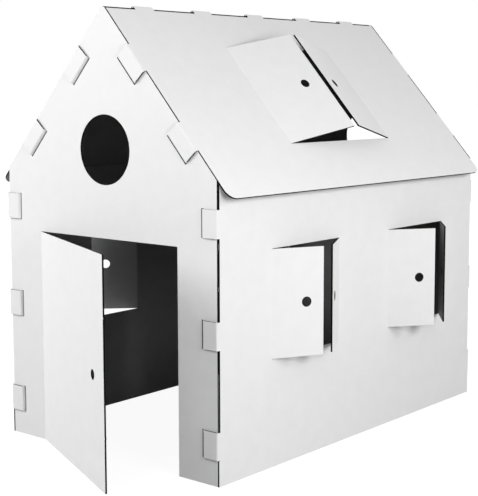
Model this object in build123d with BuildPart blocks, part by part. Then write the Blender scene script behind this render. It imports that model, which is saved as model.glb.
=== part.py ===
from build123d import *
import os
from math import cos, radians, sin, tan

# A child's playhouse of white corrugated board. It is six boards, each die cut
# and folded from one sheet: two gables, two side walls and two roof boards.
# Tabs on the walls and the roof boards fold round the corners and tuck into
# slots. The door, the shutters and the skylight flaps are cut on three sides
# and folded out at a crease.
# Millimetres, +Z up, the ridge over x = 0 and the front gable towards -Y.

# The board
board = 5.0
fit = 0.3                  # between two boards that meet
kerf = 1.0                 # round each flap, on its three cut sides

# The house
house_width = 870.0        # over the side walls' outer faces
house_depth = 1350.0       # over the gables' outer faces
eave_height = 836.0        # roof's outer face, right above the walls' outer faces
roof_pitch = 48.2          # degrees
eave_overhang = 37.0       # past the walls, measured level
eave_corner = 32.0         # radius of the roof boards' lower corners
peak_corner = 12.0         # radius of the gables' peaks
right_roof_start = 12.0    # roof boards' upper edges, down the slope from the apex
left_roof_start = 6.0

# The tabs that fold round a corner and tuck into a slot
tuck_radius = 3.0          # inside the bend into a slot
ridge_radius = 1.0         # inside the bend over the ridge
tab_lift = 1.0             # under a tab, where it lies on the next board
tab_tail = 30.0            # behind the slotted board's outer face
tab_root = 12.0            # where a tab's strip starts in its own board
slot_play_near = 1.0       # beside the tab in its slot, towards its fold
slot_play_far = 4.0
slot_play_end = 1.5

wall_tab_width = 78.0
wall_tab_reach = 57.0      # from the fold's outer face to the tail's far face
wall_tab_count = 3
wall_tab_bottom = 75.0     # from the floor to the lowest tab
wall_tab_top = 65.0        # from the highest tab to the wall's upper edge

roof_tab_width = 101.0
roof_tab_reach = 55.0
roof_tab_count = 2
roof_tab_upper = 151.5     # from the apex to the upper tab
roof_tab_lower = 167.0     # from the lower tab to the eave

ridge_tab_width = 79.0
ridge_tab_reach = 57.0
ridge_tab_count = 5
ridge_tab_margin = 123.5   # from each gable's face to the first tab

# The door, hinged on the left as one looks at it
door_width = 569.0
door_height = 652.0
door_angle = 24.4
door_grip_inset = 93.4     # finger hole's middle, from the free edge
door_grip_height = 309.0
nick_reach = 2.0           # torn bridges that held the door in its sheet
nick_height = 6.0
nick_places = (154.0, 481.0)

# The round window in each gable
porthole_radius = 102.0
porthole_height = 909.4

# The windows in the side walls, each with a pair of shutters
window_width = 324.5
window_height = 319.0
window_bottom = 317.0
window_count = 2
window_front_margin = 229.7
window_back_margin = 201.2
shutter_grip_inset = 53.8
right_front_shutter_angles = (27.8, 29.2)
right_back_shutter_angles = (35.9, 36.3)
left_front_shutter_angles = (18.0, 45.0)
left_back_shutter_angles = (35.9, 36.3)

# The skylight in the right roof board, with a pair of flaps
skylight_top = 151.5       # down the slope from the apex
skylight_height = 384.0    # down the slope
skylight_first = 417.4     # front edge, from the front face
skylight_width = 521.4
skylight_grip_inset = 70.2
skylight_angles = (15.8, 16.2)

grip_radius = 15.0         # finger holes

# Worked out from the sizes above
half_width = house_width / 2
rise = sin(radians(roof_pitch))
run = cos(radians(roof_pitch))
apex = eave_height + half_width * tan(radians(roof_pitch))
slope_length = (half_width + eave_overhang) / run
board_room = board + fit   # from a board's outer face to the next board inside it
wall_top = apex - (half_width * rise + board_room) / run
slot_width = slot_play_near + board + slot_play_far
fold_radius = tab_lift     # inside a fold, so that it starts right at the gable's face
door_leaf = door_width - kerf
door_reach = door_leaf * sin(radians(door_angle))

# The origin is halfway between the open door's edge and the back gable
front = (door_reach - house_depth) / 2
back = front + house_depth
middle = (front + back) / 2

front_face = Plane(origin=(0, front, 0), x_dir=(1, 0, 0), z_dir=(0, -1, 0))
back_face = Plane(origin=(0, back, 0), x_dir=(-1, 0, 0), z_dir=(0, 1, 0))


def spread(start, end, width, count):
    """The middles of tabs or windows of one width, spread evenly from start to end."""
    step = (end - start - width) / (count - 1)
    return [start + width / 2 + step * number for number in range(count)]


wall_tab_places = spread(
    wall_tab_bottom, wall_top - wall_tab_top, wall_tab_width, wall_tab_count
)
roof_tab_places = spread(
    roof_tab_upper, slope_length - roof_tab_lower, roof_tab_width, roof_tab_count
)
ridge_tab_places = spread(
    ridge_tab_margin, house_depth - ridge_tab_margin, ridge_tab_width, ridge_tab_count
)
window_places = spread(
    window_front_margin, house_depth - window_back_margin, window_width, window_count
)


def slot_middle(tab_reach):
    """How far a slot's middle line lies from the outer face of the board with the tab."""
    return tab_reach - board / 2 + (slot_play_far - slot_play_near) / 2


def roof_face(side):
    """The outer face of a roof board: x down the slope from the apex, y back from the front."""
    return Plane(
        origin=(0, front, apex), x_dir=(side * run, 0, -rise), z_dir=(rise, 0, side * run)
    )


def folded_strip(section, inner_face, radii):
    """The section of a strip of board whose inner face follows the points, round at the folds."""
    with BuildSketch(section) as strip:
        with BuildLine():
            FilletPolyline(*inner_face, radius=radii)
            offset(amount=board, side=Side.RIGHT)
        make_face()
    return strip.sketch


def add_corner_tab(corner, out, past, width, reach):
    """A tab that folds round a gable's edge and tucks into the gable's slot.

    corner is the middle of the tab, where its board's outer face meets the gable's.
    out points out of its board, and past points out of the gable.
    """
    section = Plane(origin=corner, x_dir=out, z_dir=out.cross(past))
    inner_face = [
        (-board, -tab_root),
        (-board, tab_lift),
        (board - reach, tab_lift),
        (board - reach, -tab_tail),
    ]
    strip = folded_strip(section, inner_face, [fold_radius, tuck_radius])
    extrude(strip, amount=width / 2, both=True)


def add_flap(hinge, across, out, leaf, length, angle, grip_inset, grip_rise=0.0):
    """A flap folded out of its opening about a crease in the outer face.

    hinge is the crease's middle, across points over the opening and out points out of
    the board. Between the board's edge and the flap the bend fans out round the crease.
    """
    crease = Plane(origin=hinge, x_dir=across, z_dir=across.cross(out))
    swing = Vector(leaf * cos(radians(angle)), leaf * sin(radians(angle)))
    with BuildSketch(crease) as bend:
        with BuildLine():
            Line((0, 0), (0, -board))
            turn = CenterArc((0, 0), board, -90, angle)
            Polyline(turn @ 1, turn @ 1 + swing, swing, (0, 0))
        make_face()
    extrude(bend.sketch, amount=length / 2, both=True)
    open_way = across * cos(radians(angle)) + out * sin(radians(angle))
    leaf_face = Plane(origin=hinge, x_dir=open_way, z_dir=crease.z_dir.cross(open_way))
    with BuildSketch(leaf_face) as grip:
        with Locations((leaf - grip_inset, grip_rise)):
            Circle(grip_radius)
    extrude(grip.sketch, amount=2 * board, both=True, mode=Mode.SUBTRACT)
    return leaf_face


def gable_outline(face):
    """A gable's board flat, with the round window and a slot for each tab.

    Its sloping edges lie flush with the roof, and a notch in them lets each tab through.
    """
    gable_side = half_width - board_room
    wall_slot = half_width - slot_middle(wall_tab_reach)
    roof_slot = slot_middle(roof_tab_reach)
    with BuildSketch(face) as gable:
        with BuildLine():
            Polyline(
                (-gable_side, 0),
                (gable_side, 0),
                (gable_side, apex - gable_side * rise / run),
                (0, apex),
                (-gable_side, apex - gable_side * rise / run),
                close=True,
            )
        make_face()
        fillet(gable.vertices().sort_by(Axis.Y)[-1], peak_corner)
        with Locations((0, porthole_height)):
            Circle(porthole_radius, mode=Mode.SUBTRACT)
        for side in (-1, 1):
            with Locations(*[(side * wall_slot, place) for place in wall_tab_places]):
                Rectangle(slot_width, wall_tab_width + 2 * slot_play_end, mode=Mode.SUBTRACT)
            for place in roof_tab_places:
                with Locations((side * place * run, apex - place * rise)):
                    Rectangle(
                        roof_tab_width + 2 * slot_play_end,
                        2 * board_room,
                        rotation=-side * roof_pitch,
                        mode=Mode.SUBTRACT,
                    )
                slot_x = place * run - roof_slot * rise
                slot_z = apex - place * rise - roof_slot * run
                with Locations((side * slot_x, slot_z)):
                    Rectangle(
                        roof_tab_width + 2 * slot_play_end,
                        slot_width,
                        rotation=-side * roof_pitch,
                        mode=Mode.SUBTRACT,
                    )
    return gable.sketch


# Front gable, with the doorway and the door folded out of it
with BuildPart() as front_gable:
    extrude(gable_outline(front_face), amount=-board)
    with BuildSketch(front_face):
        Rectangle(door_width, door_height, align=(Align.CENTER, Align.MIN))
    extrude(amount=-board, mode=Mode.SUBTRACT)
    leaf_height = door_height - kerf
    door_face = add_flap(
        hinge=Vector(-door_width / 2, front, leaf_height / 2),
        across=Vector(1, 0, 0),
        out=Vector(0, -1, 0),
        leaf=door_leaf,
        length=leaf_height,
        angle=door_angle,
        grip_inset=door_grip_inset,
        grip_rise=door_grip_height - leaf_height / 2,
    )
    with BuildSketch(door_face):
        with Locations(*[(door_leaf, place - leaf_height / 2) for place in nick_places]):
            Rectangle(2 * nick_reach, nick_height)
    extrude(amount=-board)


# Back gable, plain but for its round window and slots
with BuildPart() as back_gable:
    extrude(gable_outline(back_face), amount=-board)


def side_wall(side, shutter_angles):
    """A side wall: two windows with shutters, and three tabs round each corner.

    side is 1 for the right wall and -1 for the left one.
    """
    face = Plane(origin=(side * half_width, front, 0), x_dir=(0, 1, 0), z_dir=(1, 0, 0))
    out = Vector(side, 0, 0)
    toe_height = wall_tab_bottom - kerf
    with BuildPart() as wall:
        with BuildSketch(face):
            with Locations((house_depth / 2, 0)):
                Rectangle(house_depth - 2 * board, wall_top, align=(Align.CENTER, Align.MIN))
                Rectangle(house_depth, toe_height, align=(Align.CENTER, Align.MIN))
            with Locations(*[(place, window_bottom) for place in window_places]):
                Rectangle(
                    window_width,
                    window_height,
                    align=(Align.CENTER, Align.MIN),
                    mode=Mode.SUBTRACT,
                )
        extrude(amount=-side * board)
        for end in (-1, 1):
            for place in wall_tab_places:
                corner = Vector(side * half_width, middle + end * house_depth / 2, place)
                add_corner_tab(corner, out, Vector(0, end, 0), wall_tab_width, wall_tab_reach)
        for place, angles in zip(window_places, shutter_angles):
            for hand, angle in zip((1, -1), angles):
                crease = front + place - hand * window_width / 2
                add_flap(
                    hinge=Vector(side * half_width, crease, window_bottom + window_height / 2),
                    across=Vector(0, hand, 0),
                    out=out,
                    leaf=(window_width - kerf) / 2,
                    length=window_height - 2 * kerf,
                    angle=angle,
                    grip_inset=shutter_grip_inset,
                )
    return wall.part


def roof_outline(face, start):
    """A roof board flat, from gable to gable, with its eave's corners rounded."""
    with BuildSketch(face) as outline:
        with Locations((start, board_room)):
            Rectangle(
                slope_length - start,
                house_depth - 2 * board_room,
                align=(Align.MIN, Align.MIN),
            )
        fillet(outline.vertices().group_by(Axis.X)[-1], eave_corner)
    return outline.sketch


def add_gable_tabs(side):
    """The tabs of a roof board that fold down over both gables."""
    down = Vector(side * run, 0, -rise)
    out = Vector(side * rise, 0, run)
    for end in (-1, 1):
        ridge_end = Vector(0, middle + end * house_depth / 2, apex)
        for place in roof_tab_places:
            corner = ridge_end + down * place
            add_corner_tab(corner, out, Vector(0, end, 0), roof_tab_width, roof_tab_reach)


# Right roof board, with the skylight and the tabs that fold over the ridge
with BuildPart() as right_roof:
    extrude(roof_outline(roof_face(1), right_roof_start), amount=-board)
    add_gable_tabs(1)

    slope_in = Vector(-rise, -run)
    slope_down = Vector(run, -rise)
    far_slope_down = Vector(-run, -rise)
    far_slope_out = Vector(-rise, run)
    tuck = far_slope_down * (ridge_tab_reach - board)
    over_ridge = [
        slope_down * (right_roof_start + tab_root) + slope_in * board,
        Vector(-(board + tab_lift) / 2 / rise, (tab_lift - board) / 2 / run),
        tuck + far_slope_out * tab_lift,
        tuck - far_slope_out * tab_tail,
    ]
    for place in ridge_tab_places:
        section = Plane(origin=(0, front + place, apex), x_dir=(1, 0, 0), z_dir=(0, -1, 0))
        strip = folded_strip(section, over_ridge, [ridge_radius, tuck_radius])
        extrude(strip, amount=ridge_tab_width / 2, both=True)

    with BuildSketch(roof_face(1)):
        with Locations((skylight_top, skylight_first)):
            Rectangle(skylight_height, skylight_width, align=(Align.MIN, Align.MIN))
    extrude(amount=-board, mode=Mode.SUBTRACT)
    for hand, angle in zip((1, -1), skylight_angles):
        crease = skylight_first + skylight_width / 2 - hand * skylight_width / 2
        add_flap(
            hinge=roof_face(1).from_local_coords((skylight_top + skylight_height / 2, crease, 0)),
            across=Vector(0, hand, 0),
            out=Vector(rise, 0, run),
            leaf=(skylight_width - kerf) / 2,
            length=skylight_height - 2 * kerf,
            angle=angle,
            grip_inset=skylight_grip_inset,
        )


# Left roof board, plain, with the slots that take the ridge tabs
with BuildPart() as left_roof:
    extrude(roof_outline(roof_face(-1), left_roof_start), amount=board)
    add_gable_tabs(-1)
    with BuildSketch(roof_face(-1)):
        with Locations(*[(slot_middle(ridge_tab_reach), place) for place in ridge_tab_places]):
            Rectangle(slot_width, ridge_tab_width + 2 * slot_play_end)
    extrude(amount=board, mode=Mode.SUBTRACT)


pieces = {
    "front_gable": front_gable.part,
    "back_gable": back_gable.part,
    "right_wall": side_wall(1, (right_front_shutter_angles, right_back_shutter_angles)),
    "left_wall": side_wall(-1, (left_front_shutter_angles, left_back_shutter_angles)),
    "right_roof": right_roof.part,
    "left_roof": left_roof.part,
}

os.makedirs("parts", exist_ok=True)
for name, piece in pieces.items():
    piece.label = name
    export_step(piece, f"parts/{name}.step")
    print(name, len(piece.solids()), "solid", round(piece.volume), "mm3")
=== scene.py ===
# %% [markdown]
# # A cardboard playhouse
#
# The real object is a child's playhouse of six sheets of corrugated cardboard: two gables, two
# side walls and two halves of a roof. Nothing is glued. Tabs on the walls and the roof are folded
# round the corners and tucked into slots. The board is white outside and charcoal inside, and its
# cut edges are nearly black.
#
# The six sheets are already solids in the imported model, with their folds, tabs, slots and flaps,
# so this lesson builds no new shapes. It gives each sheet its four surfaces, white paper,
# charcoal paper, raw cut edge and crushed edge, and then sets the floor, the light and the camera.

from math import pi, radians

import bmesh
import bpy
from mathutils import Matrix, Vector


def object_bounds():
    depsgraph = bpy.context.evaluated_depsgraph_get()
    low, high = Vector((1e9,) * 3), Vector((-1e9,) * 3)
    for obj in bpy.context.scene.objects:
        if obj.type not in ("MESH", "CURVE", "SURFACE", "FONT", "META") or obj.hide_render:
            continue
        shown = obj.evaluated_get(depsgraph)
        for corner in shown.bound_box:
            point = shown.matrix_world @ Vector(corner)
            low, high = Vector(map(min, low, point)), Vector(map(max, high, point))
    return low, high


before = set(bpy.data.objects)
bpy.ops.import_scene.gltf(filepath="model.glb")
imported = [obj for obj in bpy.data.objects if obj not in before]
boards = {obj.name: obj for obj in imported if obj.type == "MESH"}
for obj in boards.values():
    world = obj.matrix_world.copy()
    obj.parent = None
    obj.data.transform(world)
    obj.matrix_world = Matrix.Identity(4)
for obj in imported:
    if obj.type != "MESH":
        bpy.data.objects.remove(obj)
cad_low, cad_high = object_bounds()
print("boards:", ", ".join(sorted(boards)))
print("house from", tuple(cad_low), "to", tuple(cad_high))

# %% [markdown]
# ## Which face is which
#
# Each board is one mesh, and its faces have to be sorted into the outer paper, the inner paper
# and the cut edge. Picking them by the direction they face would fail at the folded tabs, whose
# outer paper turns right round into the house.
#
# The papers can be followed instead, as a finger can slide over them. From one face of the outer
# paper, the search goes on to each neighbour that turns less than a square corner. It passes over
# every fold and crease and stops at the cut edges, which are square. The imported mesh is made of
# loose triangles, so the search runs on a copy whose double corners are merged, and each triangle
# of the copy carries its number in the real mesh.

# %% Follow a paper from triangle to triangle
SQUARE_CORNER = radians(60)  # folds turn less than this from face to face, cut edges more
SAME_CORNER = 1e-6  # metres


def merged_copy(board):
    """A copy of a board's mesh whose triangles are joined and know their own numbers."""
    copy = bmesh.new()
    copy.from_mesh(board.data)
    triangle = copy.faces.layers.int.new("triangle")
    corner = copy.loops.layers.int.new("corner")
    for face, polygon in zip(copy.faces, board.data.polygons):
        face[triangle] = polygon.index
        for loop, number in zip(face.loops, polygon.loop_indices):
            loop[corner] = number
    bmesh.ops.remove_doubles(copy, verts=copy.verts[:], dist=SAME_CORNER)
    return copy, triangle, corner


def neighbours(face):
    """The faces that carry on from this one, and the edges they share."""
    for edge in face.edges:
        for other in edge.link_faces:
            if other is not face and edge.calc_face_angle() < SQUARE_CORNER:
                yield other, edge


print("triangles:", sum(len(board.data.polygons) for board in boards.values()))

# %% [markdown]
# ## The flat sheet
#
# Cardboard has a grain. Its flutes run one way through the sheet, and the paper shows them as a
# faint washboard. On a folded tab the pattern has to turn the corner with the paper, so a pattern
# in plain space coordinates would be wrong there.
#
# So the search also unfolds the board. The first triangle is laid down flat, and each next one is
# turned about the edge it shares until it lies flat too. What comes out is the die-cut sheet
# before it was folded. Every corner gets three numbers in metres, stored as the attribute
# "sheet": across the flutes, along the flutes, and the depth in the board.

# %% Unfold a paper
BOARD = 0.005  # metres, thickness of the cardboard


def lay_flat(first):
    """The faces of the paper that first belongs to, and where their corners lie on the sheet."""
    across = Vector((0, 0, 1)).cross(first.normal).normalized()
    along = first.normal.cross(across)
    place = {vert: Vector((vert.co.dot(across), vert.co.dot(along))) for vert in first.verts}
    found = {first}
    waiting = [first]
    while waiting:
        for face, fold in neighbours(waiting.pop()):
            if face in found:
                continue
            start, end = fold.verts
            tip = next(vert for vert in face.verts if vert not in fold.verts)
            edge = (end.co - start.co).normalized()
            side = face.normal.cross(edge)
            flat_edge = (place[end] - place[start]).normalized()
            flat_side = Vector((-flat_edge.y, flat_edge.x))
            arm = tip.co - start.co
            spot = place[start] + flat_edge * arm.dot(edge) + flat_side * arm.dot(side)
            place.setdefault(tip, spot)
            found.add(face)
            waiting.append(face)
    return found, place


def sheet_size(place):
    """Width and height in metres of a paper, from the flat places of its corners."""
    wide = [spot.x for spot in place.values()]
    high = [spot.y for spot in place.values()]
    return round(max(wide) - min(wide), 3), round(max(high) - min(high), 3)


# %% [markdown]
# ## Mark every board
#
# The largest triangle that faces away from the middle of the house starts the outer paper, and
# the largest one that faces the middle starts the inner paper. What neither search reaches is
# the cut edge. A corner of the cut edge always belongs to one paper or the other, so it has its
# place on the sheet as well, at depth 0 or at the full thickness.
#
# Where the board is folded, the fold crushes it, and its edge looks pale and closed there. Those
# triangles of the cut edge get a slot of their own: they are small, and all their corners lie
# where a paper bends.

# %% Sort and unfold each board
OUTER, INNER, CUT, CRUSHED = 0, 1, 2, 3  # numbers of the material slots
BEND = radians(2)  # a flat paper turns less than this between two of its triangles
BEND_SIZE = 0.012  # metres, longer than any edge of a triangle in a bend
house_middle = (cad_low + cad_high) / 2


def faces_away(face):
    """More than 0 where a face looks away from the middle of the house."""
    return face.normal.dot(face.calc_center_median() - house_middle)


def bends(vert, papers):
    """True where a paper turns at this corner."""
    edges = [edge for edge in vert.link_edges if set(edge.link_faces) <= papers]
    return any(edge.calc_face_angle() > BEND for edge in edges)


def crushed(face, folded):
    """True where a face of the cut edge lies in a bend."""
    small = max(edge.calc_length() for edge in face.edges) < BEND_SIZE
    return small and folded.issuperset(face.verts)


def mark_board(board):
    """Gives each triangle its material slot, and each corner its place on the flat sheet."""
    copy, triangle, corner = merged_copy(board)
    outside = [face for face in copy.faces if faces_away(face) > 0]
    inside = [face for face in copy.faces if faces_away(face) <= 0]
    outer, outer_place = lay_flat(max(outside, key=lambda face: face.calc_area()))
    inner, inner_place = lay_flat(max(inside, key=lambda face: face.calc_area()))
    papers = outer | inner
    folded = {vert for vert in copy.verts if bends(vert, papers)}
    sheet = board.data.attributes.new("sheet", "FLOAT_VECTOR", "CORNER")
    for face in copy.faces:
        edge_slot = CRUSHED if crushed(face, folded) else CUT
        slot = OUTER if face in outer else INNER if face in inner else edge_slot
        board.data.polygons[face[triangle]].material_index = slot
        for loop in face.loops:
            deep = loop.vert not in outer_place
            flat = (inner_place if deep else outer_place)[loop.vert]
            place = (-flat.x if deep else flat.x, flat.y, BOARD if deep else 0)
            sheet.data[loop[corner]].vector = place
    print(board.name, "has an outer paper of", sheet_size(outer_place), "m, laid flat")
    print(len(outer), "triangles outside and", len(inner), "inside, of", len(copy.faces))
    copy.free()


for board in boards.values():
    mark_board(board)

# %% [markdown]
# ## Small helpers for node trees
#
# A material is a tree of nodes. A few helpers keep the trees below short: one adds a node and
# plugs its inputs, one does a step of arithmetic, and two stretch a number from one range to
# another. The last two mix two tones and turn a height in metres into relief.

# %% Small helpers for node trees
def new_material(name):
    """A new material, its node tree and its shader."""
    material = bpy.data.materials.new(name)
    material.use_nodes = True
    tree = material.node_tree
    return material, tree, tree.nodes["Principled BSDF"]


def add(tree, kind, inputs=None, **settings):
    """A new node. Its inputs go by name or number, as values or as the sockets that feed them."""
    node = tree.nodes.new(kind)
    for name, value in settings.items():
        setattr(node, name, value)
    for name, value in (inputs or {}).items():
        if isinstance(value, bpy.types.NodeSocket):
            tree.links.new(value, node.inputs[name])
        else:
            node.inputs[name].default_value = value
    return node


def calculate(tree, operation, *values):
    """One step of arithmetic on sockets and numbers."""
    return add(tree, "ShaderNodeMath", dict(enumerate(values)), operation=operation).outputs[0]


def ramp(tree, value, start, end, low, high):
    """A number that goes from low to high while value goes from start to end."""
    limits = {"From Min": start, "From Max": end, "To Min": low, "To Max": high}
    return add(tree, "ShaderNodeMapRange", {"Value": value, **limits}).outputs[0]


def spread(tree, noise_value, low, high):
    """Noise keeps to about 0.3 to 0.7. This stretches it from low to high."""
    return ramp(tree, noise_value, 0.3, 0.7, low, high)


def paint(tree, shader, share, dark, light):
    """Gives the shader a colour that goes from dark to light while share goes from 0 to 1."""
    colours = {0: share, 6: dark, 7: light}  # 6 and 7 are the two colours of a Mix node
    mix = add(tree, "ShaderNodeMix", colours, data_type="RGBA")
    tree.links.new(mix.outputs[2], shader.inputs["Base Color"])


def emboss(tree, shader, height):
    """Gives the shader a relief whose height is in metres."""
    bump = add(tree, "ShaderNodeBump", {"Height": height, "Distance": 1.0, "Strength": 1.0})
    tree.links.new(bump.outputs["Normal"], shader.inputs["Normal"])


# %% [markdown]
# ## Reading the sheet in a material
#
# Every surface of the boards starts from the "sheet" attribute. Because it is in metres, so are
# the sizes of everything drawn on it: the spots of the noise, and the wave of the flutes.

# %% Patterns on the sheet
FLUTE = 0.0086  # metres from one flute to the next, as in 5 mm single-wall board


def read_sheet(tree):
    """The place on the flat sheet, and two of its numbers: across the flutes, and the depth."""
    place = add(tree, "ShaderNodeAttribute", attribute_name="sheet").outputs["Vector"]
    parts = add(tree, "ShaderNodeSeparateXYZ", {"Vector": place}).outputs
    return place, parts["X"], parts["Z"]


def noise(tree, place, size, stretch=1, detail=3):
    """Noise with spots about size metres across, and stretch times as long along the flutes."""
    spots_to_the_metre = (1 / size, 1 / size / stretch, 1 / size)
    product = {0: place, 1: spots_to_the_metre}
    scaled = add(tree, "ShaderNodeVectorMath", product, operation="MULTIPLY").outputs[0]
    spots = {"Vector": scaled, "Scale": 1, "Detail": detail}
    return add(tree, "ShaderNodeTexNoise", spots).outputs[0]


def flute_wave(tree, across):
    """The wave of the fluted layer, from -1 to 1."""
    return calculate(tree, "SINE", calculate(tree, "MULTIPLY", across, 2 * pi / FLUTE))


print("a board 1.5 m long has", round(1.5 / FLUTE), "flutes")

# %% [markdown]
# ## White outer paper
#
# The outside is bleached paper with a thin clay coating: matt, very slightly warm, and smooth to
# the hand. Close up it isn't one flat white. Clouds a few centimetres wide vary its tone by a few
# percent, short fibres make a finer grain, and the flutes under it show as a washboard a few
# hundredths of a millimetre deep.
#
# Colour comes from the clouds and the fibres. The washboard and finer fibres make the relief, at
# its real depth, so a raking light brings them out as it does on paper.

# %% White paper
CLOUD = 0.045  # metres, width of the clouds
FIBRE = 0.0012  # metres, width of the fibres that show in the tone
FIBRE_STRETCH = 5  # how many times as long as wide they are
FIBRE_SHARE = 0.4  # their share of the tone, and the clouds make up the rest
FELT_FIBRE = 0.0008  # metres, width of the finer fibres that can be felt
FELT_STRETCH = 4  # how many times as long as wide those are


def paper(name, dark, light, roughness, washboard, grain):
    """A paper whose tone goes from dark to light. Washboard and grain are depths in metres."""
    material, tree, shader = new_material(name)
    place, across, _ = read_sheet(tree)
    clouds = noise(tree, place, CLOUD, detail=4)
    fibres = noise(tree, place, FIBRE, FIBRE_STRETCH)
    cloudy = calculate(tree, "MULTIPLY", clouds, 1 - FIBRE_SHARE)
    tone = calculate(tree, "MULTIPLY_ADD", fibres, FIBRE_SHARE, cloudy)
    paint(tree, shader, spread(tree, tone, 0, 1), dark, light)
    tree.links.new(spread(tree, clouds, *roughness), shader.inputs["Roughness"])
    flutes = calculate(tree, "MULTIPLY", flute_wave(tree, across), washboard / 2)
    felt = noise(tree, place, FELT_FIBRE, FELT_STRETCH)
    emboss(tree, shader, calculate(tree, "MULTIPLY_ADD", felt, grain, flutes))
    print(name, "from", dark[:3], "to", light[:3])
    return material


white_paper = paper(
    "white_paper",
    dark=(0.845, 0.845, 0.845, 1),
    light=(0.885, 0.885, 0.882, 1),
    roughness=(0.6, 0.72),
    washboard=0.00003,
    grain=0.00002,
)

# %% [markdown]
# ## Charcoal inner paper
#
# Inside, the board is lined with paper dyed charcoal in the pulp. It has no coating, so it is
# rougher than the white side, its fibres show more, and the flutes telegraph through it a little
# deeper. It is the same recipe with other numbers. Its tones are set to a mid grey, far lighter
# than charcoal: painted light that lifts the dim inside of the house.

# %% Charcoal paper
charcoal_paper_painted_lighter = paper(
    "charcoal_paper_painted_lighter",
    # tones of a mid grey, lighter than charcoal: painted light for the dim inside of the house
    dark=(0.225, 0.225, 0.228, 1),
    light=(0.270, 0.270, 0.273, 1),
    roughness=(0.75, 0.85),
    washboard=0.00006,
    grain=0.00005,
)

# %% [markdown]
# ## Cut edge
#
# The knife leaves a dark line a board thick. Looked at closely it has structure: the two papers
# as thin lines, and between them the fluted layer, which is a wave where the knife crossed the
# flutes and a straight line where it ran along them. The hollows between are black with shade, and
# that shade is painted into their colour.
#
# One formula gives all of that. At each point the sheet attribute says how far across the flutes
# and how deep in the board it is. The fluted layer is wherever the depth is close to a sine wave
# of the place across, and so a cut along the flutes shows a straight line by itself.

# %% Cut edge
LINER = 0.00035  # metres, thickness of each paper
CORE_PAPER = 0.0004  # metres, how far the fluted layer reaches to each side of its wave
HOLLOW_DEPTH = 0.0004  # metres from the papers' ends down into the hollows, in the relief
# painted shade: the open flutes are dark with shade, drawn here as a near-black colour
HOLLOW_SHADE = (0.002, 0.002, 0.002, 1)
PAPER_END = (0.012, 0.012, 0.012, 1)


def near(tree, value, target, reach):
    """1 where value is within reach of target, else 0."""
    away = calculate(tree, "ABSOLUTE", calculate(tree, "SUBTRACT", value, target))
    return calculate(tree, "LESS_THAN", away, reach)


def cut_board(name):
    """The end of the board where the knife went through it: three papers and their hollows."""
    material, tree, shader = new_material(name)
    _, across, depth = read_sheet(tree)
    half_wave = (BOARD - 2 * LINER) / 2
    core_depth = calculate(tree, "MULTIPLY_ADD", flute_wave(tree, across), half_wave, BOARD / 2)
    core = near(tree, depth, core_depth, CORE_PAPER)
    outer_liner = near(tree, depth, 0.0, LINER)
    inner_liner = near(tree, depth, BOARD, LINER)
    liners = calculate(tree, "MAXIMUM", outer_liner, inner_liner)
    solid = calculate(tree, "MAXIMUM", core, liners)
    # Painted shade where no paper is: the hollows between the papers get the near-black colour.
    paint(tree, shader, solid, HOLLOW_SHADE, PAPER_END)
    shader.inputs["Roughness"].default_value = 0.9
    shader.inputs["Specular IOR Level"].default_value = 0.1  # the open flutes swallow the light
    emboss(tree, shader, calculate(tree, "MULTIPLY", solid, HOLLOW_DEPTH))
    print(name, "has hollows of", HOLLOW_SHADE[:3], "and papers of", PAPER_END[:3])
    return material


cut_edge = cut_board("cut_edge")

# %% [markdown]
# ## Crushed edge
#
# A crease presses the two papers together and closes the flutes. The white one is drawn round the
# fold and its fibres fray, so the end of a fold is a pale grey with torn fibres in it. They show
# in the colour and in the bump.

# %% Crushed edge
TORN_FIBRE = 0.0006  # metres, width of the torn fibres
TORN_DEPTH = 0.0002  # metres, height of their relief
FRAYED_DARK = (0.40, 0.40, 0.40, 1)
FRAYED_LIGHT = (0.60, 0.60, 0.60, 1)


def frayed_fold(name):
    """The end of a fold, where the board is pressed shut."""
    material, tree, shader = new_material(name)
    place, _, _ = read_sheet(tree)
    fibres = noise(tree, place, TORN_FIBRE)
    paint(tree, shader, spread(tree, fibres, 0, 1), FRAYED_DARK, FRAYED_LIGHT)
    shader.inputs["Roughness"].default_value = 0.85
    emboss(tree, shader, calculate(tree, "MULTIPLY", fibres, TORN_DEPTH))
    print(name, "from", FRAYED_DARK[:3], "to", FRAYED_LIGHT[:3])
    return material


crushed_edge = frayed_fold("crushed_edge")

# %% [markdown]
# ## Put the surfaces on the boards
#
# The slots are filled in the order in which the faces were numbered above. All six boards share
# the four materials, because they were cut from the same stock. The "sheet" attribute still
# makes the pattern different on each, as every board has its own place on it.

# %% Put the surfaces on the boards
for board in boards.values():
    board.data.materials[OUTER] = white_paper
    board.data.materials.append(charcoal_paper_painted_lighter)
    board.data.materials.append(cut_edge)
    board.data.materials.append(crushed_edge)
    print(board.name, [material.name for material in board.data.materials])

# %% [markdown]
# ## Floor
#
# The picture was cut out on white, so the floor is pure white but for a soft shadow. It mixes a
# glow that only the camera sees with plain diffuse paint. The paint takes the shadow, and the
# glow lifts the rest to white. The glow grows a little with the distance, because the lamps don't
# reach far, so no horizon shows.
#
# To the light itself the floor is a middling grey. A white one would throw light up under the
# open door and brighten the lower half of the house, which the picture doesn't show.

# %% Floor
FLOOR_REACH = 60  # metres from the middle of the floor to its sides
FLOOR_GLOW = 0.8  # share of the glow in what the camera sees
FLOOR_SEEN, FLOOR_BOUNCE = 0.8, 0.35  # the paint's tone to the camera and to the light
GLOW_NEAR, GLOW_FAR = 1.17, 1.27  # strength of the glow by the house, and further out
NEAR, FAR = 2, 7  # metres from the middle, between which the glow grows


def floor_under_the_house():
    """A flat square at the boards' lower edges."""
    mesh = bpy.data.meshes.new("floor")
    square = bmesh.new()
    bmesh.ops.create_grid(square, x_segments=1, y_segments=1, size=FLOOR_REACH)
    square.to_mesh(mesh)
    square.free()
    floor = bpy.data.objects.new("floor", mesh)
    bpy.context.scene.collection.objects.link(floor)
    return floor


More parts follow.
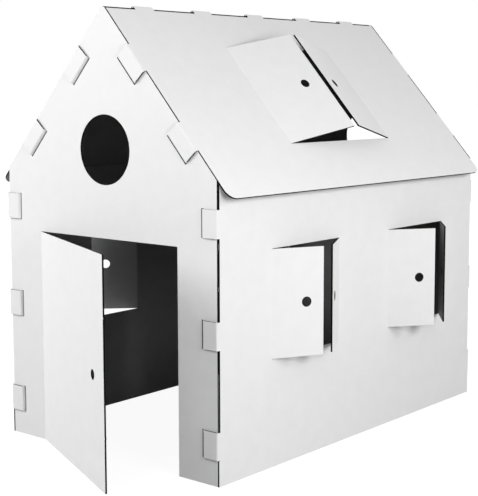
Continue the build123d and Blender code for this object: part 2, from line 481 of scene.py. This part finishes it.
def glowing_paint(name):
    """Paint that takes the shadow, and a glow over it for the camera alone."""
    material, tree, shader = new_material(name)
    tree.nodes.remove(shader)
    seen = add(tree, "ShaderNodeLightPath").outputs["Is Camera Ray"]
    place = add(tree, "ShaderNodeTexCoord").outputs["Object"]
    away = add(tree, "ShaderNodeVectorMath", {0: place}, operation="LENGTH").outputs["Value"]
    tone = ramp(tree, seen, 0, 1, FLOOR_BOUNCE, FLOOR_SEEN)
    matt = add(tree, "ShaderNodeBsdfDiffuse", {"Color": tone}).outputs[0]
    strength = ramp(tree, away, NEAR, FAR, GLOW_NEAR, GLOW_FAR)
    glow = add(tree, "ShaderNodeEmission", {"Strength": strength}).outputs[0]
    share = calculate(tree, "MULTIPLY", seen, FLOOR_GLOW)
    mixed = add(tree, "ShaderNodeMixShader", {0: share, 1: matt, 2: glow}).outputs[0]
    tree.links.new(mixed, tree.nodes["Material Output"].inputs["Surface"])
    return material


floor = floor_under_the_house()
floor.data.materials.append(glowing_paint("floor_paint"))
print("floor", tuple(floor.dimensions)[:2], "m, glow", GLOW_NEAR, "to", GLOW_FAR)

# %% [markdown]
# ## World
#
# The world has two jobs that pull apart. Behind the house it has to be pure white, but as a light
# it would wash out every shadow. So the camera sees it at full strength, and the boards get only
# a quarter of it, which is the light that a studio's walls send back into the shadows.

# %% World
SKY_LIGHT = 0.25  # strength of the white world as a light


def white_studio(name):
    """A world that is full white where it is seen or mirrored, and dim as a light."""
    world = bpy.data.worlds.new(name)
    world.use_nodes = True
    tree = world.node_tree
    path = add(tree, "ShaderNodeLightPath").outputs
    mirrored = calculate(tree, "MAXIMUM", path["Is Glossy Ray"], path["Is Transmission Ray"])
    shown = calculate(tree, "MAXIMUM", path["Is Camera Ray"], mirrored)
    level = calculate(tree, "MULTIPLY_ADD", shown, 1 - SKY_LIGHT, SKY_LIGHT)
    sky = tree.nodes["Background"]
    sky.inputs["Color"].default_value = (1, 1, 1, 1)
    tree.links.new(level, sky.inputs["Strength"])
    return world


bpy.context.scene.world = white_studio("studio")
print("world: 1 to the camera,", SKY_LIGHT, "to the boards")

# %% [markdown]
# ## Studio lamps
#
# Large soft lamps stand round the house. The strongest is in front and to the left, so the open
# door shades the strip of board on the other side of the doorway. One in front and one low beside
# the camera light the near corner most, and their light falls off towards the floor and the
# ridge. One by the far end of the side wall keeps the roof and the skylight flaps bright. The
# last one is behind the house and lights the sides that the picture doesn't show.
#
# The powers were fitted: each lamp was rendered alone, and the sum of them all was matched to
# the tones of the white paper in the picture.

# %% Lamps
MIDDLE = (0, 0, 0.7)  # metres, the point in the house where every lamp points


def softbox(name, place, size, power):
    """A square lamp at place, size metres wide, that points at the middle of the house."""
    lamp = bpy.data.lights.new(name, "AREA")
    lamp.shape = "SQUARE"
    lamp.size = size
    lamp.energy = power
    stand = bpy.data.objects.new(name, lamp)
    stand.location = place
    stand.rotation_euler = (Vector(MIDDLE) - Vector(place)).to_track_quat("-Z", "Y").to_euler()
    bpy.context.scene.collection.objects.link(stand)
    print(name, "at", place, "with", power, "W")


softbox("left", place=(-3.52, -2.96, 2.2), size=2.0, power=141)
softbox("far_right", place=(3.60, 2.40, 2.0), size=1.2, power=48)
softbox("front", place=(0.50, -2.86, 2.3), size=1.2, power=26)
softbox("low", place=(2.73, -0.99, 1.2), size=1.2, power=37)
softbox("back", place=(-2.60, 4.40, 2.6), size=2.0, power=90)

# %% [markdown]
# ## Camera
#
# The camera's place, turn and lens were worked out from the picture: from where the corners of
# the house, the door, the windows and the ridge lie in it. The picture's own optical centre is a
# little right of and above its middle, which is what the two shifts are.

# %% Camera
PICTURE = (478, 496)  # pixels
OPTICAL_CENTRE = (263, 224)  # pixels from the left and from the top
FOCAL_PIXELS = 1199.2
SENSOR = 36.0  # millimetres, across the longer side of the picture
CAMERA_PLACE = (2.5381, -2.9442, 1.0864)  # metres
CAMERA_DIP = radians(6.47)  # below level
CAMERA_TURN = radians(39.24)  # to the left, from a view straight along the ridge

camera_data = bpy.data.cameras.new("camera")
camera_data.sensor_width = SENSOR
camera_data.lens = SENSOR * FOCAL_PIXELS / max(PICTURE)
camera_data.shift_x = (PICTURE[0] / 2 - OPTICAL_CENTRE[0]) / max(PICTURE)
camera_data.shift_y = (OPTICAL_CENTRE[1] - PICTURE[1] / 2) / max(PICTURE)
camera = bpy.data.objects.new("camera", camera_data)
camera.location = CAMERA_PLACE
camera.rotation_euler = (pi / 2 - CAMERA_DIP, 0, CAMERA_TURN)
bpy.context.scene.collection.objects.link(camera)
bpy.context.scene.camera = camera
print("lens", round(camera_data.lens, 2), "mm")

# %% [markdown]
# ## Picture settings
#
# The Standard view shows a colour as it was set, without a film look, so the tones written in the
# materials can be compared with the picture's own.

# %% Picture settings
bpy.context.scene.view_settings.view_transform = "Standard"
print("view:", bpy.context.scene.view_settings.view_transform)
